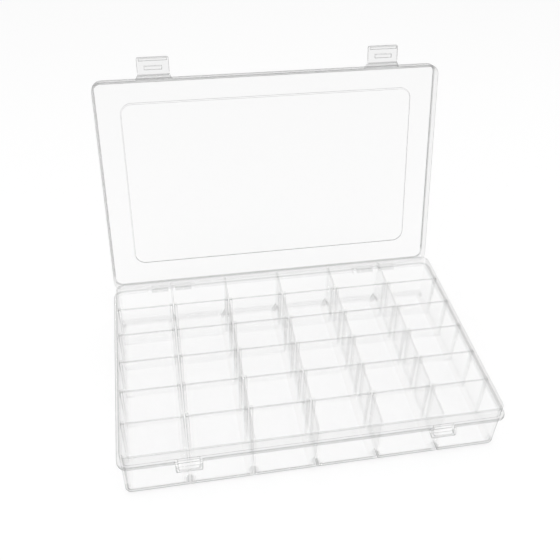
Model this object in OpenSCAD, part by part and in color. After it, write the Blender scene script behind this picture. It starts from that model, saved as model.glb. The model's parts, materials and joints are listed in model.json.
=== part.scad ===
// Clear compartment box with one hinged lid: a moulded tray with fixed partitions,
// slotted cross dividers that lift out, a lid that snaps on two hinges, and two
// latches on living hinges. Millimetres, +Z up. The model stands as in use, with
// the lid open on its stops, and the origin is the middle of its footprint.

/* [Grid] */
// Columns of compartments, side by side
columns = 6; // [3:1:8]
// Rows of compartments, front to back
rows = 6; // [2:1:8]
// Clear width of a column at the top
column_w = 43.3; // [30:0.1:60]
// Clear depth of a compartment
row_d = 27.2; // [20:0.1:45]

/* [Tray] */
// Height of the tray walls above the surface it stands on
tray_h = 41.5; // [34:0.5:70]
// Thickness of the four outer walls
wall = 1.3; // [1:0.1:2.5]
// Thickness of the partitions between the columns
partition_t = 1.2; // [0.8:0.1:2.5]
// Thickness of the floor
floor_t = 1.2; // [0.8:0.1:2.5]
// How far the outer walls lean in, from top to foot
lean = 0.7; // [0:0.1:1.5]
// Corner radius of the tray walls in plan
corner_r = 5.5; // [4:0.5:8]
// Radius where the outer walls meet the floor
foot_r = 4.7; // [2.5:0.1:7]
// Radius of the grooves under the partitions
groove_r = 5; // [3:0.25:7]

/* [Rim] */
// Height of the wall band above the flange
band_h = 7.9; // [5:0.1:12]
// Thickness of the flange
flange_t = 2.3; // [1.5:0.1:4]
// How far the flange stands out from the wall
flange_proud = 2.4; // [2:0.1:3]
// Rounding of the flange's two outer edges
flange_r = 0.6; // [0.2:0.1:1]

/* [Dividers] */
// Thickness of a cross divider
divider_t = 1.1; // [0.8:0.1:2]
// Gap between a divider's edge and the wall behind its slot
divider_side_gap = 0.25; // [0.15:0.05:0.6]
// Gap under a divider
divider_floor_gap = 0.2; // [0.1:0.05:0.5]
// How far a divider stays below the top of the walls
divider_drop = 0.6; // [0.3:0.1:3]
// How far the slot ribs stand out from the walls
rib_proud = 2.3; // [1:0.1:4]
// Thickness of one slot rib
rib_t = 1; // [0.7:0.1:2]
// Gap on each face of a divider in its slot
slot_gap = 0.2; // [0.1:0.05:0.5]

/* [Lid] */
// Thickness of the lid plate
lid_t = 1.5; // [1:0.1:3]
// Thickness of the lid rim
lid_wall = 1.3; // [1:0.1:2]
// Gap between the lid rim and the tray walls
lid_gap = 0.4; // [0.3:0.05:0.8]
// Gap between the lid rim and the flange when shut
lid_seat_gap = 0.2; // [0.1:0.05:0.5]
// Gap between the lid plate and the top of the tray walls when shut
lid_top_gap = 0.2; // [0.1:0.05:0.5]
// Rounding of the lid's outer top edge
lid_edge_r = 1.2; // [0.5:0.1:2]
// Angle that the open lid has turned from shut
open_angle = 103.4; // [60:0.1:110]
// Distance from the lid's edge to its raised panel
panel_inset = 19; // [10:0.5:30]
// Height of the raised panel
panel_raise = 0.5; // [0.2:0.1:0.8]
// Corner radius of the raised panel
panel_r = 9; // [3:0.5:20]

/* [Hinges] */
// Radius of the hinge pins
pin_r = 1.25; // [1:0.05:2]
// Radial running clearance of the knuckles on the pins
pin_gap = 0.08; // [0.03:0.01:0.1]
// Wall of a knuckle round its pin
knuckle_wall = 1.05; // [0.8:0.05:2]
// Width of one knuckle
knuckle_w = 13.2; // [8:0.1:16]
// Width of the lug between the two knuckles of a hinge
mid_lug_w = 5.6; // [3:0.1:10]
// Width of the lug at each end of a hinge
end_lug_w = 3.6; // [2:0.1:6]
// Gap at each side of a knuckle
knuckle_side_gap = 0.25; // [0.1:0.05:0.5]
// Depth of the hinge axis below the top of the walls
hinge_drop = 11.1; // [10:0.1:16]
// Mouth of a knuckle, as a share of the pin's diameter
mouth_share = 0.86; // [0.7:0.01:0.95]

/* [Latches] */
// Width of a latch tab
tab_w = 24; // [16:0.5:32]
// Length of a latch tab from its hinge line
tab_l = 12.8; // [11:0.1:20]
// Thickness of a latch tab
tab_t = 1.3; // [1:0.1:2]
// Corner radius of a latch tab
tab_r = 1.6; // [0.5:0.1:3]
// How far the latch hinge line stands out from the lid rim
shelf_proud = 4.5; // [4.2:0.1:7]
// Thickness of the shelf that carries a latch
shelf_t = 1.6; // [1:0.1:3]
// How much wider the shelf is at the lid than at the hinge line
shelf_flare = 3; // [0:0.5:6]
// Gap between a shelf and its tab at the hinge line
web_gap = 0.25; // [0.1:0.05:0.4]
// Width of the locating bar on a tab
bar_w = 13; // [6:0.5:14]
// Height of the locating bar
bar_h = 2.7; // [1:0.1:3]
// How far the locating bar stands out from the tab
bar_proud = 2; // [1:0.1:3]
// Thickness of the hooking lip on a tab
lip_t = 1.8; // [1:0.1:3]
// How far the lip reaches under the catch
lip_reach = 0.9; // [0.4:0.1:1.5]
// Gap between the lip and the catch
lip_gap = 0.35; // [0.2:0.05:0.8]

/* [Catches] */
// Width of a catch
catch_w = 18.4; // [17:0.1:28]
// How far a catch stands out from the tray wall
catch_proud = 4.5; // [3.5:0.1:6]
// Height of a catch, down from the top of the flange
catch_h = 9; // [8:0.1:12]
// Thickness of a catch's sides and of its ledge's nose
catch_t = 1.8; // [1.5:0.1:3]
// How much thicker a catch's ledge is at the wall
catch_ramp = 2.2; // [0:0.1:4]
// Radius of a catch's lower corners
catch_r = 2.5; // [1:0.1:4]

/* [Hidden] */
$fn = 48;
function divider_name(c, r) = str("divider_c", c, "_r", r);

EPS = 0.01;   // overlap of solids that are joined
BIG = 1000;   // larger than anything on the part

// Grid, worked out from the centre line in X and from the front wall in Y
column_pitch = column_w + partition_t;
row_pitch = row_d + divider_t;
tray_w = columns * column_w + (columns - 1) * partition_t + 2 * wall;
tray_d = rows * row_d + (rows - 1) * divider_t + 2 * wall;
function column_x(c) = (c - (columns + 1) / 2) * column_pitch;
function partition_x(i) = (i - columns / 2) * column_pitch;
function divider_y(r) = wall + r * row_pitch - divider_t / 2;
lean_at_floor = lean * (1 - floor_t / tray_h);
trough_r = groove_r - partition_t / 2;
foot = min(foot_r, corner_r - lean - 0.1);

// Flange
flange_top = tray_h - band_h;
flange_z = flange_top - flange_t;

// Lid, drawn shut
lid_out = lid_gap + lid_wall;
plate_z = tray_h + lid_top_gap;
rim_z = flange_top + lid_seat_gap;
lid_r = corner_r + lid_out;

// Hinge
knuckle_r = pin_r + pin_gap + knuckle_wall;
hinge_y = tray_d + lid_gap + knuckle_r;
hinge_z = tray_h - hinge_drop;
hinge_w = mid_lug_w + 2 * end_lug_w + 2 * knuckle_w + 4 * knuckle_side_gap;
knuckle_x = mid_lug_w / 2 + knuckle_side_gap + knuckle_w / 2;
lug_x = hinge_w / 2 - end_lug_w / 2;
lug_r = knuckle_r - pin_gap;
// The lid rim's lower outer corner, as it turns about the hinge, comes to rest here
rim_dy = tray_d + lid_out - hinge_y;
rim_dz = rim_z - hinge_z;
rim_rest_y = rim_dy * cos(open_angle) + rim_dz * sin(open_angle);
rim_rest_z = -rim_dy * sin(open_angle) + rim_dz * cos(open_angle);
stop_gap = 0.25;
stop_reach = 0.5;

// Latch
latch_z = rim_z + shelf_t / 2;
latch_y = -lid_out - shelf_proud;
bead_r = tab_t / 2;
ledge_z = flange_top - catch_h;
lip_top = latch_z - ledge_z + lip_gap;
tab_face_y = latch_y + bead_r;
lip_proud = -catch_proud + lip_reach - tab_face_y;
bar_top = latch_z - flange_z + lip_gap;

// Footprint's middle, with the lid open
rim_back_y = rim_dy * cos(open_angle) + (plate_z + lid_t - hinge_z) * sin(open_angle);
far_y = -lid_out - hinge_y;
lid_front_y = far_y * cos(open_angle) + (plate_z + lid_t - hinge_z) * sin(open_angle);
tab_front_y = (latch_y - tab_l - hinge_y) * cos(open_angle)
    + (latch_z + bead_r - hinge_z) * sin(open_angle);
back_y = hinge_y + max(rim_back_y, lid_front_y, tab_front_y, knuckle_r);
front_y = -max(catch_proud, flange_proud);
middle_y = (front_y + back_y) / 2;

CLEAR = [0.93, 0.95, 0.96, 0.55];
FROST = [0.86, 0.89, 0.91, 0.7];

// A flat slab with round corners in plan, centred in X, from y0 to y1 and z0 to z1
module slab(w, y0, y1, z0, z1, r) {
    for (s = [-1, 1])
        for (y = [y0 + r, y1 - r])
            translate([s * (w / 2 - r), y, z0]) cylinder(r = r, h = z1 - z0);
    translate([-w / 2 + r, y0, z0]) cube([w - 2 * r, y1 - y0, z1 - z0]);
    translate([-w / 2, y0 + r, z0]) cube([w, y1 - y0 - 2 * r, z1 - z0]);
}

// Points of an arc of radius r about c, from angle a to angle b
function arc(c, r, a, b, n = 6) = [for (i = [0:n]) let (t = a + (b - a) * i / n)
    c + r * [cos(t), sin(t)]];

// A block with one outline on all four sides. The outline is drawn outward from the
// axis of a corner of radius r, from the bottom of the block to its top.
module moulded(w, y0, y1, r, outline) {
    for (x = [-w / 2 + r, w / 2 - r])
        for (y = [y0 + r, y1 - r])
            translate([x, y, 0]) rotate_extrude() polygon(outline);
    along_y(y0 + r, y1 - r) both_ways(-w / 2 + r, w / 2 - r, outline);
    along_x(-w / 2 + r, w / 2 - r) both_ways(y0 + r, y1 - r, outline);
}

// The cross section whose outline reaches out from a and from b
module both_ways(a, b, outline) {
    last = len(outline) - 1;
    polygon(concat([for (p = outline) [b + p.x, p.y]],
        [for (i = [last:-1:0]) [a - outline[i].x, outline[i].y]]));
}

// Outline of a wall that leans in and turns into the floor
function cup_outline(z0, z1, r, lean_in, foot_in) = concat([[0, z0]],
    arc([r - lean_in - foot_in, z0 + foot_in], foot_in, -90, 0), [[r, z1], [0, z1]]);

// Carries a profile drawn in X and Z along Y
module along_y(y0, y1) {
    translate([0, y1, 0]) rotate([90, 0, 0]) linear_extrude(y1 - y0) children();
}

// Carries a profile drawn in Y and Z along X
module along_x(x0, x1) {
    translate([x0, 0, 0]) rotate([90, 0, 90]) linear_extrude(x1 - x0) children();
}

// Upright cross section between two leaning walls, with its lower corners rounded
module cup_profile(x0, x1, z0, z1, lean0, lean1, r) {
    polygon(concat(
        [[x1, z1]],
        arc([x1 - lean1 - r, z0 + r], r, 0, -90),
        arc([x0 + lean0 + r, z0 + r], r, -90, -180),
        [[x0, z1]]));
}

// Outer body of the tray: one lobe for each column, so grooves run under the partitions
module tray_outside() {
    difference() {
        moulded(tray_w, 0, tray_d, corner_r, cup_outline(0, tray_h, corner_r, lean, foot));
        for (i = [1:columns - 1])
            translate([partition_x(i), 0, 0]) along_y(-1, tray_d + 1) groove_profile();
    }
}

module groove_profile() {
    difference() {
        translate([-groove_r, -1]) square([2 * groove_r, groove_r + 1]);
        for (s = [-1, 1]) translate([s * groove_r, groove_r]) circle(r = groove_r);
    }
}

// The insides of all columns, down to the floor. Past the outer columns the
// cross sections run on, since the outer walls end those.
module troughs() {
    intersection() {
        moulded(tray_w - 2 * wall, wall, tray_d - wall, corner_r - wall,
            cup_outline(floor_t, tray_h + 1, corner_r - wall, lean_at_floor, foot - wall));
        along_y(0, tray_d) for (c = [1:columns]) {
            x0 = column_x(c) - column_w / 2 - (c == 1 ? 2 * corner_r : 0);
            x1 = column_x(c) + column_w / 2 + (c == columns ? 2 * corner_r : 0);
            cup_profile(x0, x1, floor_t, tray_h + 1, 0, 0, trough_r);
        }
    }
}

// Pairs of ribs down one face of a wall, which hold the ends of the dividers. Their
// lower corner is cut off inside the plastic where the wall turns into the floor.
module rib_line(x, side, cut) {
    depth = divider_t + 2 * slot_gap + rib_t;
    for (r = [1:rows - 1])
        for (s = [-1, 1])
            translate([x, divider_y(r) + s * depth / 2, 0]) mirror([side < 0 ? 1 : 0, 0, 0])
                along_y(-rib_t / 2, rib_t / 2) polygon([[-EPS, floor_t + cut],
                    [cut, floor_t - EPS], [rib_proud, floor_t - EPS],
                    [rib_proud, tray_h], [-EPS, tray_h]]);
}

module slot_ribs() {
    for (i = [1:columns - 1])
        for (side = [-1, 1])
            rib_line(partition_x(i) + side * partition_t / 2, side,
                min(trough_r / 2, rib_proud - EPS));
    for (side = [-1, 1])
        rib_line(side * (tray_w / 2 - wall), -side, min((foot - wall) / 2, rib_proud - EPS));
}

// The ring round the walls that the lid rim rests on
module flange() {
    r = corner_r + flange_proud;
    difference() {
        moulded(tray_w + 2 * flange_proud, -flange_proud, tray_d + flange_proud, r, concat(
            [[0, flange_z]], arc([r - flange_r, flange_z + flange_r], flange_r, -90, 0, 3),
            arc([r - flange_r, flange_top - flange_r], flange_r, 0, 90, 3), [[0, flange_top]]));
        slab(tray_w - wall, wall / 2, tray_d - wall / 2,
            flange_z - 1, flange_top + 1, corner_r - wall / 2);
        for (i = [1, columns - 1]) {
            translate([partition_x(i) - hinge_w / 2, tray_d, flange_z - 1])
                cube([hinge_w, BIG, flange_t + 2]);
            translate([partition_x(i) - catch_w / 2 + catch_t, -BIG, flange_z - 1])
                cube([catch_w - 2 * catch_t, BIG, flange_t + 2]);
        }
    }
}

// The flange turns down into a U whose ledge the latch hooks under
module catch(x) {
    inset = lean * (tray_h - ledge_z) / tray_h + wall / 2;
    nose = catch_t / 2;
    intersection() {
        along_y(-catch_proud - 1, inset) translate([x, 0]) difference() {
            u_profile(catch_w, ledge_z, flange_top, catch_r);
            u_profile(catch_w - 2 * catch_t, ledge_z + catch_t, BIG, catch_r - nose);
        }
        along_x(-tray_w, tray_w) polygon(concat(
            [[inset, ledge_z], [inset, flange_top], [-flange_proud, flange_top],
                [-flange_proud, flange_z]],
            arc([-catch_proud + nose, ledge_z + nose], nose, 180, 270)));
    }
    along_x(x - catch_w / 2 + nose, x + catch_w / 2 - nose) polygon(concat(
        [[inset, ledge_z + EPS], [inset, ledge_z + catch_t + catch_ramp],
            [0, ledge_z + catch_t + catch_ramp]],
        arc([-catch_proud + nose, ledge_z + nose], nose, 80, 270)));
}

module u_profile(w, z0, z1, r) {
    polygon(concat([[-w / 2, z1]], arc([-w / 2 + r, z0 + r], r, 180, 270),
        arc([w / 2 - r, z0 + r], r, 270, 360), [[w / 2, z1]]));
}

// A lug holds the hinge pin, and its heel stops the open lid
module lug(x, w) {
    heel_y = rim_rest_y + stop_reach;
    heel_z = rim_rest_z - stop_gap;
    difference() {
        translate([0, hinge_y, hinge_z]) union() {
            translate([x - w / 2, 0, 0]) rotate([0, 90, 0]) cylinder(r = lug_r, h = w);
            translate([x - w / 2, tray_d - wall / 2 - hinge_y - lean, -lug_r])
                cube([w, hinge_y - tray_d + wall / 2 + lean, 2 * lug_r]);
            along_x(x - w / 2, x + w / 2) polygon([
                [0, -lug_r], [heel_y - 1, -lug_r], [heel_y, -lug_r + 1],
                [heel_y, heel_z], [0, heel_z]]);
        }
        tray_inside_block();
    }
}

// Everything inside the outer walls, for trimming what is fixed to their outside
module tray_inside_block() {
    translate([-tray_w / 2, wall, floor_t]) cube([tray_w, tray_d - 2 * wall - lean, BIG]);
}

module hinge_fixed(x) {
    translate([x, 0, 0]) {
        lug(0, mid_lug_w);
        for (s = [-1, 1]) lug(s * lug_x, end_lug_w);
        translate([-hinge_w / 2, hinge_y, hinge_z]) rotate([0, 90, 0])
            cylinder(r = pin_r, h = hinge_w);
    }
}

module tray() {
    color(CLEAR) {
        difference() {
            tray_outside();
            troughs();
        }
        slot_ribs();
        flange();
        for (i = [1, columns - 1]) {
            catch(partition_x(i));
            hinge_fixed(partition_x(i));
        }
    }
}

// Turns what is drawn on the shut box with the lid
module with_lid() {
    translate([0, hinge_y, hinge_z]) rotate([-open_angle, 0, 0])
        translate([0, -hinge_y, -hinge_z]) children();
}

module lid_outside() {
    top = plate_z + lid_t;
    moulded(tray_w + 2 * lid_out, -lid_out, tray_d + lid_out, lid_r, concat(
        [[0, rim_z], [lid_r, rim_z]],
        arc([lid_r - lid_edge_r, top - lid_edge_r], lid_edge_r, 0, 90), [[0, top]]));
}

module panel(z0, z1, grow) {
    slab(tray_w + 2 * lid_out - 2 * panel_inset + 2 * grow,
        panel_inset - lid_out - grow, tray_d + lid_out - panel_inset + grow,
        z0, z1, panel_r + grow);
}

// A shelf on the front of the rim that a latch hangs from
module latch_shelf(x) {
    edge = latch_y + bead_r + web_gap;
    intersection() {
        along_x(-tray_w, tray_w) polygon([[-lid_out + EPS, rim_z], [edge, rim_z],
            [edge, rim_z + shelf_t], [-lid_out + EPS, rim_z + shelf_t + shelf_proud / 2]]);
        translate([x, 0, rim_z - 1]) linear_extrude(BIG) polygon([
            [-tab_w / 2, edge - 1], [tab_w / 2, edge - 1],
            [tab_w / 2 + shelf_flare / 2, -lid_out + EPS],
            [-tab_w / 2 - shelf_flare / 2, -lid_out + EPS]]);
    }
}

// A knuckle hangs from the back of the rim and snaps over a hinge pin
module knuckle(x) {
    mouth = 2 * pin_r * mouth_share;
    difference() {
        translate([x - knuckle_w / 2, 0, 0]) {
            translate([0, hinge_y, hinge_z]) rotate([0, 90, 0])
                cylinder(r = knuckle_r, h = knuckle_w);
            translate([0, tray_d + lid_gap, hinge_z])
                cube([knuckle_w, knuckle_r, rim_z - hinge_z + lid_wall]);
        }
        translate([x - knuckle_w / 2 - 1, hinge_y, hinge_z]) rotate([0, 90, 0])
            cylinder(r = pin_r + pin_gap, h = knuckle_w + 2);
        translate([x - knuckle_w / 2 - 1, hinge_y - mouth / 2, hinge_z - knuckle_r - 1])
            cube([knuckle_w + 2, mouth, knuckle_r + 1]);
    }
}

module lid() {
    color(CLEAR) with_lid() {
        difference() {
            union() {
                lid_outside();
                panel(plate_z, plate_z + lid_t + panel_raise, 0);
            }
            slab(tray_w + 2 * lid_gap, -lid_gap, tray_d + lid_gap,
                rim_z - 1, plate_z, corner_r + lid_gap);
            panel(plate_z - 1, plate_z + panel_raise, -lid_t / 2);
        }
        for (i = [1, columns - 1]) {
            latch_shelf(partition_x(i));
            for (s = [-1, 1]) knuckle(partition_x(i) + s * knuckle_x);
        }
    }
}

// A latch, drawn unfolded in line with its shelf
module latch(x) {
    color(FROST) with_lid() translate([x, latch_y, latch_z]) {
        difference() {
            slab(tab_w, -tab_l, tab_l, -bead_r, bead_r, tab_r);
            translate([-tab_w, 0, -tab_t]) cube([2 * tab_w, 2 * tab_l, 2 * tab_t]);
        }
        translate([-tab_w / 2, 0, 0]) rotate([0, 90, 0]) cylinder(r = bead_r, h = tab_w);
        translate([-bar_w / 2, -bar_top - bar_h, -bead_r - bar_proud])
            cube([bar_w, bar_h, bar_proud + EPS]);
        translate([-tab_w / 2 + tab_r, -lip_top - lip_t, -bead_r - lip_proud])
            cube([tab_w - 2 * tab_r, lip_t, lip_proud + EPS]);
    }
}

module latch_left() { latch(partition_x(1)); }
module latch_right() { latch(partition_x(columns - 1)); }

// A divider drops into its slots, and its foot narrows with the leaning walls
module divider(c, r) {
    half = column_w / 2 - divider_side_gap;
    z0 = floor_t + divider_floor_gap;
    color(CLEAR) translate([column_x(c), divider_y(r), 0])
        along_y(-divider_t / 2, divider_t / 2)
            cup_profile(-half, half, z0, tray_h - divider_drop, lean, lean, trough_r);
}

translate([0, -middle_y, 0]) {
    tray();
    lid();
    latch_left();
    latch_right();
    for (c = [1:columns]) for (r = [1:rows - 1])
        divider(c, r);
}
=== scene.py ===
"""Clear compartment box with one hinged lid, dressed as moulded polypropylene.

The frame gives the tray, the lid, two latches and thirty dividers. This add-on gives
each of them its plastic, adds the living hinges that the latches fold on, and sets a
white stage seen from the front left.
"""

import json
import math

import bpy
import numpy as np
from bpy.props import FloatProperty, FloatVectorProperty, PointerProperty
from mathutils import Matrix, Vector


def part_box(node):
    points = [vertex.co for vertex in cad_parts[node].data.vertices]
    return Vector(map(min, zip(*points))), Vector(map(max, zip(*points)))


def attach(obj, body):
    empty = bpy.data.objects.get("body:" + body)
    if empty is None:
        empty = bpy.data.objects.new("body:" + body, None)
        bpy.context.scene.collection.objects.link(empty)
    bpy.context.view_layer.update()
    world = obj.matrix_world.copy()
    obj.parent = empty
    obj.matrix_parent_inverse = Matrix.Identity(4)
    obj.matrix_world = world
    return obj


bl_info = {
    "name": "Clear compartment box",
    "version": (1, 0, 0),
    "blender": (4, 5, 0),
    "location": "3D View > Sidebar > Compartment Box",
    "description": "Plastics, living hinges and white stage for a clear compartment box",
    "category": "Object",
}

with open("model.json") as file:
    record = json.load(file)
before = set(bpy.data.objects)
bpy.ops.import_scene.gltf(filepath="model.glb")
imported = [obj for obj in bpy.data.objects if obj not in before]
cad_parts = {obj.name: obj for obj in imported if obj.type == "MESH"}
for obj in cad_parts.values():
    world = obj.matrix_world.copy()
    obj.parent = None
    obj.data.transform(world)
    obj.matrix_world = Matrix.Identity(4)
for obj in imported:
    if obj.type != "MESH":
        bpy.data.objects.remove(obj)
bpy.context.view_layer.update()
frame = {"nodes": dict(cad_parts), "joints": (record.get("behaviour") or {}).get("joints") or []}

MM = 0.001
LATCHES = ("latch_left", "latch_right")
DIVIDERS = sorted(name for name in frame["nodes"] if name.startswith("divider"))
JOINTS = {joint["name"]: joint for joint in frame["joints"]}
LID_OPEN = -math.radians(JOINTS["lid_hinge"]["range_deg"][0])
LATCH_LOW, LATCH_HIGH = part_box("latch_left")
LATCH_WIDTH = LATCH_HIGH[0] - LATCH_LOW[0]

# Directions on the open lid: down its face, and out through its back
LID_DOWN = (0.0, math.cos(LID_OPEN), -math.sin(LID_OPEN))
LID_OUT = (0.0, math.sin(LID_OPEN), math.cos(LID_OPEN))
LID_MESH = frame["nodes"]["lid"].data

# How high the lid's faces stand that look out, and how far down its points reach
SQUARE_ON = 0.999
LID_LEVELS = [face.center.dot(Vector(LID_OUT)) for face in LID_MESH.polygons
              if abs(face.normal.dot(Vector(LID_OUT))) > SQUARE_ON]
LID_REACH = [vertex.co.dot(Vector(LID_DOWN)) for vertex in LID_MESH.vertices]
LID_HALF = (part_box("lid")[1][0], (max(LID_REACH) - min(LID_REACH)) / 2.0)
LID_MIDDLE = (max(LID_REACH) + min(LID_REACH)) / 2.0

# The room inside the tray's walls, worked out from the dividers that fill it
INNER_X = max(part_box(name)[1][0] for name in DIVIDERS)
INNER_TOP = max(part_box(name)[1][2] for name in DIVIDERS)
ROW_FRONTS = sorted({round(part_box(name)[0][1], 6) for name in DIVIDERS})
ROW_BACKS = sorted({round(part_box(name)[1][1], 6) for name in DIVIDERS})
ROW_PITCH = ROW_FRONTS[1] - ROW_FRONTS[0]
INNER_FRONT = ROW_BACKS[0] - ROW_PITCH
INNER_BACK = ROW_FRONTS[-1] + ROW_PITCH

# Where the camera stands: turned about the upright, raised, and tilted, in radians.
# It looks at AIM from DISTANCE away, and its lens is FOCAL pixels long on a picture
# that is PICTURE pixels wide, with the middle of the view moved up by RISE pixels.
TURN = -0.1999
RAISE = 0.6642
TILT = 0.0354
AIM = (10.61 * MM, 100.98 * MM, 41.5 * MM)
DISTANCE = 675.29 * MM
FOCAL = 754.17
RISE = 40
PICTURE = 560
SENSOR = 36.0
NEAREST_SEEN = 0.01
FARTHEST_SEEN = 20.0

# Zones of the moulded parts: how far the walls' top edges reach below the dividers'
# tops, how deep the end of the lid's wall is, and how far in from the lid's sides the
# ends of its flanks reach
TOP_EDGE = 0.9 * MM
END_DEPTH = 0.15 * MM
FLANK_WIDTH = 3.0 * MM

# Directions that tell faces apart: below TURNED_IN an edge of a flank turns towards the
# middle, below UPPER_WALL a face of the lid is its upper wall's, and a face is curved
# when no axis holds more than CURVED of its direction, and flat from FLAT on
TURNED_IN = -0.02
UPPER_WALL = -0.4
CURVED = 0.9
FLAT = 0.96

# The plastic: how far it bends light, how its haze varies, and how quickly the painted
# shade of curves and of walls falls off as they turn towards the eye
BENDING = 1.49
FLOW_SCALE = 60.0
FLOW_DETAIL = 2.0
FLOW_ROUGHNESS = 0.5
FLOW_HAZE = 0.04
EDGE_SAMPLES = 3
FACING_BLEND = 0.5
CURVE_FALL = 2.0
WALL_FALL = 4.0
LID_CURVE_SHARE = 0.2

# Sockets of a Mix node for colours: its two colours and its result
FIRST_COLOUR = 6
SECOND_COLOUR = 7
MIXED_COLOUR = 2

WEB_STEPS = 13
WEB_SWELL = 3

# The stage: the floor's half width and finish, the directions along Y between which the
# room brightens, the lamps' places, and how often light may pass or bend
FLOOR_HALF = 6.0
FLOOR_WHITE = 0.9
FLOOR_ROUGHNESS = 0.8
ROOM_FRONT = -0.6
ROOM_BACK = 0.25
WHITE = (1.0, 1.0, 1.0, 1.0)
KEY_PLACE = (-0.7, -0.5, 1.1)
FILL_PLACE = (0.9, -0.2, 0.8)
LAMP_AIM = (0.0, 0.0, 0.05)
STRAIGHT_BOUNCES = 64
BENT_BOUNCES = 48


# ---------------------------------------------------------------------------
# Shader nodes


class Value:
    """One output of a shader node. Sums on it add Math nodes to its tree."""

    def __init__(self, tree, socket):
        self.tree = tree
        self.socket = socket

    def maths(self, operation, *others):
        return self.tree.node("ShaderNodeMath", {"operation": operation}, (self, *others))

    def __add__(self, other):
        return self.maths("ADD", other)

    def __sub__(self, other):
        return self.maths("SUBTRACT", other)

    def __rsub__(self, other):
        return self.tree.node("ShaderNodeMath", {"operation": "SUBTRACT"}, (other, self))

    def __mul__(self, other):
        return self.maths("MULTIPLY", other)

    def __pow__(self, other):
        return self.maths("POWER", other)

    __radd__ = __add__
    __rmul__ = __mul__

    def at_most(self, other):
        return self.maths("MINIMUM", other)

    def at_least(self, other):
        return self.maths("MAXIMUM", other)


class Tree:
    """The nodes of a material or a world, each made by one method."""

    def __init__(self, owner):
        owner.use_nodes = True
        self.nodes = owner.node_tree.nodes
        self.links = owner.node_tree.links
        self.nodes.clear()

    def make(self, kind, settings=None, inputs=()):
        """The node itself: its settings first, then the values or links of its sockets."""
        node = self.nodes.new(kind)
        for name, value in (settings or {}).items():
            setattr(node, name, value)
        pairs = inputs.items() if isinstance(inputs, dict) else enumerate(inputs)
        for key, value in pairs:
            if isinstance(value, Value):
                self.links.new(value.socket, node.inputs[key])
            else:
                node.inputs[key].default_value = value
        return node

    def node(self, kind, settings=None, inputs=(), output=0):
        """One output of a new node, ready for sums."""
        return Value(self, self.make(kind, settings, inputs).outputs[output])


def split(tree, vector):
    """The three parts of a vector."""
    parts = tree.make("ShaderNodeSeparateXYZ", None, (vector,))
    return [Value(tree, socket) for socket in parts.outputs]


def seen_rays(tree):
    """1 for rays of the camera, and 1 for these with reflected and refracted ones."""
    path = tree.make("ShaderNodeLightPath")
    camera = Value(tree, path.outputs["Is Camera Ray"])
    mirrored = Value(tree, path.outputs["Is Glossy Ray"])
    refracted = Value(tree, path.outputs["Is Transmission Ray"])
    return camera, camera.at_least(mirrored).at_least(refracted)


# ---------------------------------------------------------------------------
# Plastics


def dot(tree, one, other):
    """How far one vector goes along another."""
    return tree.node("ShaderNodeVectorMath", {"operation": "DOT_PRODUCT"}, (one, other),
                     output="Value")


def edge_mask(tree, rounded, gain):
    """Near 1 close to a moulded edge, where a rounded normal leaves the true one: gain
    times 1 less the part that the two have in common, at most 1."""
    along = dot(tree, rounded, tree.node("ShaderNodeNewGeometry", output="Normal"))
    return ((1.0 - along.maths("ABSOLUTE")) * gain).at_most(1.0)


def behind(tree, look):
    """1 on what is seen through few faces, falling evenly to far_tone behind many."""
    faces = tree.node("ShaderNodeLightPath", output="Transparent Depth")
    return tree.node("ShaderNodeMapRange", None, {
        "Value": faces, "From Min": look.near_faces, "From Max": look.far_faces,
        "To Min": 1.0, "To Max": look.far_tone})


def curve_mask(tree):
    """1 on rounded corners and feet, whose faces turn away from all three axes."""
    parts = split(tree, tree.node("ShaderNodeTexCoord", output="Normal"))
    x, y, z = (part.maths("ABSOLUTE") for part in parts)
    return tree.node("ShaderNodeMapRange", {"interpolation_type": "SMOOTHSTEP"}, {
        "Value": x.at_least(y).at_least(z), "From Min": CURVED, "From Max": FLAT,
        "To Min": 1.0, "To Max": 0.0})


def at_hinge(tree, where, joint, radius):
    """1 within a radius of the axis of a hinge, which runs along X."""
    y, z = split(tree, where)[1:]
    axis = JOINTS[joint]["pos_m"]
    away = (y - axis[1]) * (y - axis[1]) + (z - axis[2]) * (z - axis[2])
    return away.maths("LESS_THAN", radius ** 2)


def hinge_ease(tree, where, look):
    """The share of an edge's firmness that is left at the knuckles and at the folds. The
    folds of both latches lie on one line."""
    knuckle = at_hinge(tree, where, "lid_hinge", look.knuckle_radius)
    fold = at_hinge(tree, where, LATCHES[0] + "_hinge", look.fold_radius)
    at_knuckle = 1.0 - knuckle * (1.0 - look.knuckle_tone)
    at_fold = 1.0 - fold * (1.0 - look.fold_tone)
    return at_knuckle * at_fold


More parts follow.
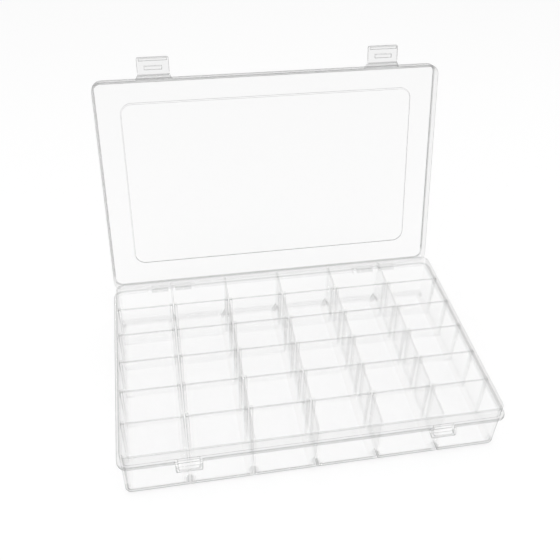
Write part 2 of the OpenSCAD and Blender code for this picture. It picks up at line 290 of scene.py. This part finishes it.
def tray_masks(tree, where, rounded, look, ribs=True):
    """How firmly the painted shade of edges shows, how firmly that of curves shows, and
    added painted shade. Edges are firm outside and on the top edges of the walls. Between
    the walls and on the ribs they're faint and fade out towards the floor. The added
    painted shade is a grey band on the rim."""
    x, y, z = split(tree, where)
    middle = (INNER_FRONT + INNER_BACK) / 2.0
    foot = z.maths("LESS_THAN", look.foot_height) * look.foot_reach
    across = (x.maths("ABSOLUTE") + foot).maths("LESS_THAN", INNER_X)
    along = ((y - middle).maths("ABSOLUTE") + foot).maths("LESS_THAN", INNER_BACK - middle)
    room = across * along
    fade = tree.node("ShaderNodeMapRange", None, {
        "Value": z, "From Min": look.foot_height, "From Max": INNER_TOP,
        "To Min": 0.0, "To Max": look.rib_tone})
    faint = z.maths("LESS_THAN", INNER_TOP - TOP_EDGE)
    if ribs:
        rows = (y - (ROW_FRONTS[0] + ROW_BACKS[0]) / 2.0) * (1.0 / ROW_PITCH)
        from_slot = (rows - rows.maths("ROUND")).maths("ABSOLUTE")
        faint = faint.at_least(from_slot.maths("LESS_THAN", look.slot_reach / ROW_PITCH))
    flank = (1.0 - across) * along * (1.0 - look.flank_tone)
    inside = 1.0 - room * faint * (1.0 - fade)
    firm = inside * (1.0 - flank) * hinge_ease(tree, where, look)
    # Painted shade: a grey band on the outside of the rim round the tray's top
    rim = (1.0 - room) * z.maths("GREATER_THAN", INNER_TOP - look.rim_height)
    return firm, firm, rim * look.rim_painted_shade


def divider_masks(tree, where, rounded, look):
    """The same for the dividers, whose top edges are firm all along."""
    return tray_masks(tree, where, rounded, look, False)


def lid_masks(tree, where, rounded, look):
    """The same for the lid. Its edges are eased round the raised panel and along the
    hinged side, and the inner edges of its flanks are left out on the end of its wall.
    The added painted shade is a grey on that end and on the upper wall's last stretch before its
    back."""
    x = split(tree, where)[0]
    level = dot(tree, where, LID_OUT)
    down = dot(tree, where, LID_DOWN) - LID_MIDDLE
    end = level.maths("LESS_THAN", min(LID_LEVELS) + END_DEPTH)
    inwards = (x.maths("SIGN") * split(tree, rounded)[0]).maths(
        "LESS_THAN", TURNED_IN)
    panel = x.maths("ABSOLUTE").maths("LESS_THAN", LID_HALF[0] - look.border) * (
        down.maths("ABSOLUTE").maths("LESS_THAN", LID_HALF[1] - look.border))
    upper = dot(tree, tree.node("ShaderNodeTexCoord", output="Normal"), LID_DOWN)
    back = upper.maths("LESS_THAN", UPPER_WALL) * level.maths(
        "GREATER_THAN", max(LID_LEVELS) - look.back_reach)
    foot = down.maths("GREATER_THAN", LID_HALF[1] - look.border)
    eased = hinge_ease(tree, where, look) * (1.0 - foot * (1.0 - look.lid_foot_tone))
    firm = eased * (1.0 - end * inwards) * (1.0 - panel * (1.0 - look.panel_tone))
    inner = x.maths("ABSOLUTE").maths("LESS_THAN", LID_HALF[0] - FLANK_WIDTH)
    # Painted shade: grey on the end of the lid's wall and on the upper wall's last stretch
    # before its back
    added = (end * inner * look.end_tone + back * look.back_tone) * eased
    return firm, firm * LID_CURVE_SHARE, added


def latch_masks(tree, where, rounded, look):
    """The same for the latches and their living hinges."""
    eased = hinge_ease(tree, where, look)
    return eased, eased, 0.0


def moulded_plastic(name, look, colour, haze, clearness, gain, edge_tone, masks):
    """Clear plastic. Most light passes straight on, so thin walls stay readable, and the
    rest refracts. Edges, curves and walls seen on their side get painted shade: a grey
    put into the colour and into the straight light, in place of the light that clear
    plastic bends away there. Lines seen through several faces get less of it."""
    material = bpy.data.materials.new(name)
    tree = Tree(material)
    where = tree.node("ShaderNodeTexCoord", output="Object")
    side = tree.node("ShaderNodeLayerWeight", None, {"Blend": FACING_BLEND},
                     output="Facing")
    rounded = tree.node("ShaderNodeBevel", {"samples": EDGE_SAMPLES},
                        {"Radius": look.edge_width})
    firm, soft, added = masks(tree, where, rounded, look)
    # Painted shade at moulded edges and on rounded curves seen on their side, weaker behind many
    # faces
    edge = edge_mask(tree, rounded, gain) * firm
    curve = curve_mask(tree) * side ** CURVE_FALL * look.curve_tone * soft
    lines = (edge + curve).at_most(1.0) * behind(tree, look)
    # All the painted shade: edge and curve lines, walls seen on their side, and the added grey
    painted_shade = (lines + side ** WALL_FALL * look.side_tone + added).at_most(1.0)
    flow = tree.node("ShaderNodeTexNoise", {"noise_dimensions": "3D"}, {
        "Vector": where, "Scale": FLOW_SCALE, "Detail": FLOW_DETAIL,
        "Roughness": FLOW_ROUGHNESS})
    # The darker colour of the painted shade, for Base Color and for the grey straight light
    dark = tuple(c * edge_tone for c in colour)
    tone = tree.node("ShaderNodeMix", {"data_type": "RGBA"}, {
        "Factor": lines, FIRST_COLOUR: (*colour, 1.0), SECOND_COLOUR: (*dark, 1.0)},
        output=MIXED_COLOUR)
    body = tree.node("ShaderNodeBsdfPrincipled", None, {
        "Base Color": tone, "Roughness": flow * FLOW_HAZE + haze, "IOR": BENDING,
        "Transmission Weight": 1.0})
    pale = tuple(c * clearness for c in colour)
    clear = tree.node("ShaderNodeBsdfTransparent", None, {"Color": (*pale, 1.0)})
    grey = tree.node("ShaderNodeBsdfTransparent", None, {"Color": (*dark, 1.0)})
    straight = tree.node("ShaderNodeMixShader", None, (painted_shade, clear, grey))
    shadow = tree.node("ShaderNodeLightPath", output="Is Shadow Ray")
    both = tree.node("ShaderNodeMixShader", None,
                     (shadow.at_least(look.straight_share), body, straight))
    tree.make("ShaderNodeOutputMaterial", None, {"Surface": both})
    return material


def paint(piece, material):
    """Puts one material into every slot of a piece."""
    slots = piece.data.materials
    if len(slots) == 0:
        slots.append(material)
    for index in range(len(slots)):
        slots[index] = material


# ---------------------------------------------------------------------------
# Pieces


def tube_mesh(name, rings):
    """A closed solid through rings of points, an array (ring, point, 3): four-sided faces
    join each ring to the next, and one face closes each end."""
    count, around = rings.shape[:2]
    index = np.arange(count * around).reshape(count, around)
    after = np.roll(index, -1, axis=1)
    sides = np.stack([index[:-1], after[:-1], after[1:], index[1:]], axis=-1)
    faces = sides.reshape(-1, 4).tolist() + [index[0, ::-1].tolist(), index[-1].tolist()]
    mesh = bpy.data.meshes.new(name)
    mesh.from_pydata(rings.reshape(-1, 3).tolist(), [], faces)
    mesh.validate()
    return mesh


def hinge_web(name, joint, web):
    """The strip between a latch and its shelf. Along the strip, from u = 0 in the latch's
    bead to u = 1 in the shelf, its thickness is thin + (thick - thin) * |2u - 1|^3."""
    u = np.linspace(0.0, 1.0, WEB_STEPS)
    swell = np.abs(2.0 * u - 1.0) ** WEB_SWELL
    half = (web.thin + (web.thick - web.thin) * swell) / 2.0
    reach = web.start + (web.end - web.start) * u
    outline = np.concatenate([np.stack([reach, half], -1),
                              np.stack([reach, -half], -1)[::-1]])
    axis = np.array(joint["pos_m"])
    flat = axis + outline[:, :1] * np.array(LID_DOWN) + outline[:, 1:] * np.array(LID_OUT)
    across = np.array([[-0.5], [0.5]]) * np.array([[LATCH_WIDTH, 0.0, 0.0]])
    rings = flat[None, :, :] + across[:, None, :]
    piece = bpy.data.objects.new(name, tube_mesh(name, rings))
    bpy.context.scene.collection.objects.link(piece)
    return piece


# ---------------------------------------------------------------------------
# Settings


class BoxPlasticSettings(bpy.types.PropertyGroup):
    """Finish of the moulded plastic, with the painted shade of its edges, curves and sides"""

    box_colour: FloatVectorProperty(
        name="Box colour", description="Tint of the tray, the lid and the dividers",
        subtype="COLOR", size=3, min=0, max=1, default=(0.998, 0.998, 0.998))
    latch_colour: FloatVectorProperty(
        name="Latch colour", description="Tint of the latches and their living hinges",
        subtype="COLOR", size=3, min=0, max=1, default=(0.985, 0.985, 0.985))
    box_haze: FloatProperty(
        name="Box haze", description="Roughness of the box plastic",
        subtype="FACTOR", min=0, max=1, default=0.03)
    latch_haze: FloatProperty(
        name="Latch haze", description="Roughness of the latch plastic",
        subtype="FACTOR", min=0, max=1, default=0.15)
    tray_clearness: FloatProperty(
        name="Tray clearness", description="Share of straight light a tray face passes",
        subtype="FACTOR", min=0, max=1, default=0.9965)
    lid_clearness: FloatProperty(
        name="Lid clearness", description="Share of straight light a lid face passes",
        subtype="FACTOR", min=0, max=1, default=0.984)
    latch_clearness: FloatProperty(
        name="Latch clearness", description="Share of straight light a latch face passes",
        subtype="FACTOR", min=0, max=1, default=0.965)
    straight_share: FloatProperty(
        name="Straight share", description="Share of light that a wall doesn't bend",
        subtype="FACTOR", min=0, max=1, default=0.975)
    edge_width: FloatProperty(
        name="Edge width", description="How far the grey of a moulded edge reaches",
        subtype="DISTANCE", unit="LENGTH", min=0, default=0.5 * MM)
    # The edge tones and gains below, and the curve, side, rim, end and back tones, set painted
    # shade: grey in place of the light that clear plastic bends away at edges and sides
    tray_edge_tone: FloatProperty(
        name="Tray edge tone", description="Share of light that passes an edge of the tray",
        subtype="FACTOR", min=0, max=1, default=0.45)
    divider_edge_tone: FloatProperty(
        name="Divider edge tone", description="Share of light that passes a divider's edge",
        subtype="FACTOR", min=0, max=1, default=0.3)
    lid_edge_tone: FloatProperty(
        name="Lid edge tone", description="Share of light that passes an edge of the lid",
        subtype="FACTOR", min=0, max=1, default=0.1)
    latch_edge_tone: FloatProperty(
        name="Latch edge tone", description="Share of light that passes an edge of a latch",
        subtype="FACTOR", min=0, max=1, default=0.35)
    tray_gain: FloatProperty(
        name="Tray gain", description="How firmly the edges of the tray stand out",
        min=0, max=100, default=26.0)
    lid_gain: FloatProperty(
        name="Lid gain", description="How firmly the edges of the lid stand out",
        min=0, max=100, default=80.0)
    latch_gain: FloatProperty(
        name="Latch gain", description="How firmly the edges of the latches stand out",
        min=0, max=100, default=30.0)
    rib_tone: FloatProperty(
        name="Rib tone", description="How firm edges still are at the top of the ribs",
        subtype="FACTOR", min=0, max=1, default=0.35)
    slot_reach: FloatProperty(
        name="Slot reach", description="How far the ribs of a slot reach from its middle",
        subtype="DISTANCE", unit="LENGTH", min=0, default=2.2 * MM)
    flank_tone: FloatProperty(
        name="Flank tone", description="How firm edges still are on the tray's side walls",
        subtype="FACTOR", min=0, max=1, default=0.35)
    panel_tone: FloatProperty(
        name="Panel tone", description="How firm edges still are round the raised panel",
        subtype="FACTOR", min=0, max=1, default=0.35)
    lid_foot_tone: FloatProperty(
        name="Lid foot tone", description="How firm edges still are on the hinged side",
        subtype="FACTOR", min=0, max=1, default=0.45)
    border: FloatProperty(
        name="Lid border", description="Width of the lid's border that keeps firm edges",
        subtype="DISTANCE", unit="LENGTH", min=0, default=12.0 * MM)
    knuckle_tone: FloatProperty(
        name="Knuckle tone", description="How firm edges still are at the knuckles",
        subtype="FACTOR", min=0, max=1, default=0.1)
    knuckle_radius: FloatProperty(
        name="Knuckle radius", description="How far the knuckles reach from the hinge axis",
        subtype="DISTANCE", unit="LENGTH", min=0, default=4.5 * MM)
    fold_tone: FloatProperty(
        name="Fold tone", description="How firm edges still are at the latches' folds",
        subtype="FACTOR", min=0, max=1, default=0.25)
    fold_radius: FloatProperty(
        name="Fold radius", description="How far a latch's fold reaches from its axis",
        subtype="DISTANCE", unit="LENGTH", min=0, default=1.5 * MM)
    near_faces: FloatProperty(
        name="Near faces", description="Edges behind up to so many faces are firm",
        min=0, max=64, default=2.0)
    far_faces: FloatProperty(
        name="Far faces", description="Edges behind so many faces are at their faintest",
        min=0, max=64, default=6.0)
    far_tone: FloatProperty(
        name="Far tone", description="How much is left of an edge at its faintest",
        subtype="FACTOR", min=0, max=1, default=0.1)
    curve_tone: FloatProperty(
        name="Curve tone", description="Greyness of a rounded corner seen on its side",
        subtype="FACTOR", min=0, max=1, default=1.0)
    side_tone: FloatProperty(
        name="Side tone", description="Greyness of a wall seen on its side",
        subtype="FACTOR", min=0, max=1, default=0.16)
    # The rim's grey is painted shade
    rim_painted_shade: FloatProperty(
        name="Rim tone", description="Greyness of the thicker rim round the tray",
        subtype="FACTOR", min=0, max=1, default=0.12)
    rim_height: FloatProperty(
        name="Rim height", description="How far down the grey of the rim reaches",
        subtype="DISTANCE", unit="LENGTH", min=0, default=10.0 * MM)
    # The end and back tones set painted shade on the lid's wall
    end_tone: FloatProperty(
        name="End tone", description="Greyness of the end of the lid's wall",
        subtype="FACTOR", min=0, max=1, default=0.25)
    back_tone: FloatProperty(
        name="Back tone", description="Greyness of the back edge of the lid's wall",
        subtype="FACTOR", min=0, max=1, default=0.5)
    back_reach: FloatProperty(
        name="Back reach", description="How far the grey of the back edge reaches",
        subtype="DISTANCE", unit="LENGTH", min=0, default=1.5 * MM)
    foot_height: FloatProperty(
        name="Foot height", description="How high the rounded foot of a wall is",
        subtype="DISTANCE", unit="LENGTH", min=0, default=5.0 * MM)
    foot_reach: FloatProperty(
        name="Foot reach", description="How far the rounded foot of a wall reaches inwards",
        subtype="DISTANCE", unit="LENGTH", min=0, default=7.0 * MM)


class HingeWebSettings(bpy.types.PropertyGroup):
    """Sizes of the living hinges"""

    thin: FloatProperty(
        name="Fold", description="Thickness of the strip where it folds",
        subtype="DISTANCE", unit="LENGTH", min=0, default=0.3 * MM)
    thick: FloatProperty(
        name="Root", description="Thickness of the strip at its two roots",
        subtype="DISTANCE", unit="LENGTH", min=0, default=1.0 * MM)
    start: FloatProperty(
        name="Start", description="Where the strip starts inside the latch's bead",
        subtype="DISTANCE", unit="LENGTH", default=0.3 * MM)
    end: FloatProperty(
        name="End", description="Where the strip ends inside the shelf",
        subtype="DISTANCE", unit="LENGTH", default=1.3 * MM)


class BoxStageSettings(bpy.types.PropertyGroup):
    """Light and floor of the white stage"""

    room: FloatProperty(
        name="Room", description="Brightness of the room in front of the box",
        min=0, max=2, default=0.75)
    ambient: FloatProperty(
        name="Ambient", description="Brightness of the light from all round",
        min=0, max=2, default=0.85)
    floor_glow: FloatProperty(
        name="Floor glow", description="Light that the white floor gives itself",
        min=0, max=1, default=0.16)
    key_power: FloatProperty(
        name="Key lamp", description="Power of the lamp on the left",
        subtype="POWER", unit="POWER", min=0, default=2.0)
    fill_share: FloatProperty(
        name="Fill share", description="Power of the right lamp as a share of the left one",
        subtype="FACTOR", min=0, max=1, default=0.4)
    lamp_size: FloatProperty(
        name="Lamp size", description="Diameter of both lamps",
        subtype="DISTANCE", unit="LENGTH", min=0, default=0.9)


# ---------------------------------------------------------------------------
# Operators


class OBJECT_OT_mould_compartment_box(bpy.types.Operator):
    """Gives the tray, the lid and the dividers their clear plastic"""

    bl_idname = "object.mould_compartment_box"
    bl_label = "Mould the box"

    def execute(self, context):
        look = context.scene.box_plastic
        nodes = frame["nodes"]
        plain = (look, look.box_colour, look.box_haze)
        tray = (*plain, look.tray_clearness, look.tray_gain, look.tray_edge_tone)
        lid = (*plain, look.lid_clearness, look.lid_gain, look.lid_edge_tone)
        paint(nodes["tray"], moulded_plastic("tray_plastic", *tray, tray_masks))
        paint(nodes["lid"], moulded_plastic("lid_plastic", *lid, lid_masks))
        divider = moulded_plastic("divider_plastic", *tray[:-1], look.divider_edge_tone,
                                  divider_masks)
        for name in DIVIDERS:
            paint(nodes[name], divider)
        return {"FINISHED"}


class OBJECT_OT_mould_box_latches(bpy.types.Operator):
    """Gives both latches their plastic and adds the living hinges that they fold on"""

    bl_idname = "object.mould_box_latches"
    bl_label = "Mould the latches"

    def execute(self, context):
        look = context.scene.box_plastic
        frost = (look, look.latch_colour, look.latch_haze, look.latch_clearness,
                 look.latch_gain, look.latch_edge_tone)
        frosted = moulded_plastic("latch_plastic", *frost, latch_masks)
        for name in LATCHES:
            if name + "_hinge" not in JOINTS:
                raise RuntimeError(name + " has no hinge to fold on")
            paint(frame["nodes"][name], frosted)
            web = hinge_web(name + "_web", JOINTS[name + "_hinge"], context.scene.hinge_web)
            paint(web, frosted)
            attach(web, "lid")
        return {"FINISHED"}


class SCENE_OT_set_compartment_box_stage(bpy.types.Operator):
    """Sets the camera, the white floor, the lamps and the light of the room"""

    bl_idname = "scene.set_compartment_box_stage"
    bl_label = "Set the stage"

    def execute(self, context):
        scene = context.scene
        stage = scene.box_stage
        scene.view_settings.view_transform = "Standard"
        scene.cycles.transparent_max_bounces = STRAIGHT_BOUNCES
        scene.cycles.transmission_bounces = BENT_BOUNCES
        scene.cycles.glossy_bounces = BENT_BOUNCES
        scene.cycles.max_bounces = STRAIGHT_BOUNCES
        place_camera(scene)
        light_room(scene, stage)
        lay_floor(scene, stage)
        fill_power = stage.key_power * stage.fill_share
        hang_lamp(scene, "key_lamp", KEY_PLACE, stage.key_power, stage.lamp_size)
        hang_lamp(scene, "fill_lamp", FILL_PLACE, fill_power, stage.lamp_size)
        return {"FINISHED"}


def place_camera(scene):
    """Stands the camera at AIM + DISTANCE * back, with its two other axes tilted."""
    data = bpy.data.cameras.new("camera")
    camera = bpy.data.objects.new("camera", data)
    scene.collection.objects.link(camera)
    flat = math.cos(RAISE)
    back = Vector((math.sin(TURN) * flat, -math.cos(TURN) * flat, math.sin(RAISE)))
    level = Vector((math.cos(TURN), math.sin(TURN), 0.0))
    upright = back.cross(level)
    right = level * math.cos(TILT) + upright * math.sin(TILT)
    up = upright * math.cos(TILT) - level * math.sin(TILT)
    turned = Matrix((right, up, back)).transposed().to_4x4()
    camera.matrix_world = Matrix.Translation(Vector(AIM) + back * DISTANCE) @ turned
    data.sensor_width = SENSOR
    data.lens = FOCAL * SENSOR / PICTURE
    data.shift_y = -RISE / PICTURE
    data.clip_start = NEAREST_SEEN
    data.clip_end = FARTHEST_SEEN
    scene.camera = camera


def light_room(scene, stage):
    """A white surrounding. The camera sees it white, lamps and shade take the ambient
    value, and plastic mirrors and bends a room that is darker towards the front."""
    world = bpy.data.worlds.new("white_room")
    scene.world = world
    tree = Tree(world)
    camera, seen = seen_rays(tree)
    direction = tree.node("ShaderNodeTexCoord", output="Generated")
    to_back = tree.node("ShaderNodeSeparateXYZ", None, (direction,), output="Y")
    room = tree.node("ShaderNodeMapRange", {"interpolation_type": "SMOOTHSTEP"}, {
        "Value": to_back, "From Min": ROOM_FRONT, "From Max": ROOM_BACK,
        "To Min": stage.room, "To Max": 1.0})
    strength = seen * (room.at_least(camera) - stage.ambient) + stage.ambient
    light = tree.node("ShaderNodeBackground", None, {"Color": WHITE, "Strength": strength})
    tree.make("ShaderNodeOutputWorld", None, {"Surface": light})


def lay_floor(scene, stage):
    """A flat white square, far larger than the view, at the height the box stands on."""
    half = FLOOR_HALF
    corners = [(-half, -half, 0), (half, -half, 0), (half, half, 0), (-half, half, 0)]
    mesh = bpy.data.meshes.new("floor")
    mesh.from_pydata(corners, [], [(0, 1, 2, 3)])
    floor = bpy.data.objects.new("floor", mesh)
    scene.collection.objects.link(floor)
    material = bpy.data.materials.new("white_floor")
    tree = Tree(material)
    seen = seen_rays(tree)[1]
    paper = tree.node("ShaderNodeBsdfPrincipled", None, {
        "Base Color": (FLOOR_WHITE, FLOOR_WHITE, FLOOR_WHITE, 1.0),
        "Roughness": FLOOR_ROUGHNESS, "Specular IOR Level": 0.0,
        "Emission Color": WHITE, "Emission Strength": seen * stage.floor_glow})
    tree.make("ShaderNodeOutputMaterial", None, {"Surface": paper})
    mesh.materials.append(material)


def hang_lamp(scene, name, place, power, size):
    """A round lamp that looks at the middle of the box."""
    data = bpy.data.lights.new(name, "AREA")
    data.shape = "DISK"
    data.size = size
    data.energy = power
    lamp = bpy.data.objects.new(name, data)
    scene.collection.objects.link(lamp)
    towards = Vector(LAMP_AIM) - Vector(place)
    lamp.location = place
    lamp.rotation_mode = "QUATERNION"
    lamp.rotation_quaternion = towards.to_track_quat("-Z", "Y")


# ---------------------------------------------------------------------------
# Add-on


class VIEW3D_PT_compartment_box(bpy.types.Panel):
    """Finishes, sizes and steps of the compartment box"""

    bl_idname = "VIEW3D_PT_compartment_box"
    bl_label = "Compartment Box"
    bl_space_type = "VIEW_3D"
    bl_region_type = "UI"
    bl_category = "Compartment Box"

    def draw(self, context):
        for group in (context.scene.box_plastic, context.scene.hinge_web,
                      context.scene.box_stage):
            column = self.layout.box().column()
            for name in group.__annotations__:
                column.prop(group, name)
        for operator in OPERATORS:
            self.layout.operator(operator.bl_idname)


OPERATORS = (
    OBJECT_OT_mould_compartment_box,
    OBJECT_OT_mould_box_latches,
    SCENE_OT_set_compartment_box_stage,
)
CLASSES = (BoxPlasticSettings, HingeWebSettings, BoxStageSettings, *OPERATORS,
           VIEW3D_PT_compartment_box)


def register():
    for cls in CLASSES:
        bpy.utils.register_class(cls)
    bpy.types.Scene.box_plastic = PointerProperty(type=BoxPlasticSettings)
    bpy.types.Scene.hinge_web = PointerProperty(type=HingeWebSettings)
    bpy.types.Scene.box_stage = PointerProperty(type=BoxStageSettings)


def unregister():
    del bpy.types.Scene.box_stage
    del bpy.types.Scene.hinge_web
    del bpy.types.Scene.box_plastic
    for cls in reversed(CLASSES):
        bpy.utils.unregister_class(cls)


def main():
    """Registers the add-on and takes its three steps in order."""
    register()
    bpy.ops.object.mould_compartment_box()
    bpy.ops.object.mould_box_latches()
    bpy.ops.scene.set_compartment_box_stage()


if __name__ == "__main__":
    main()
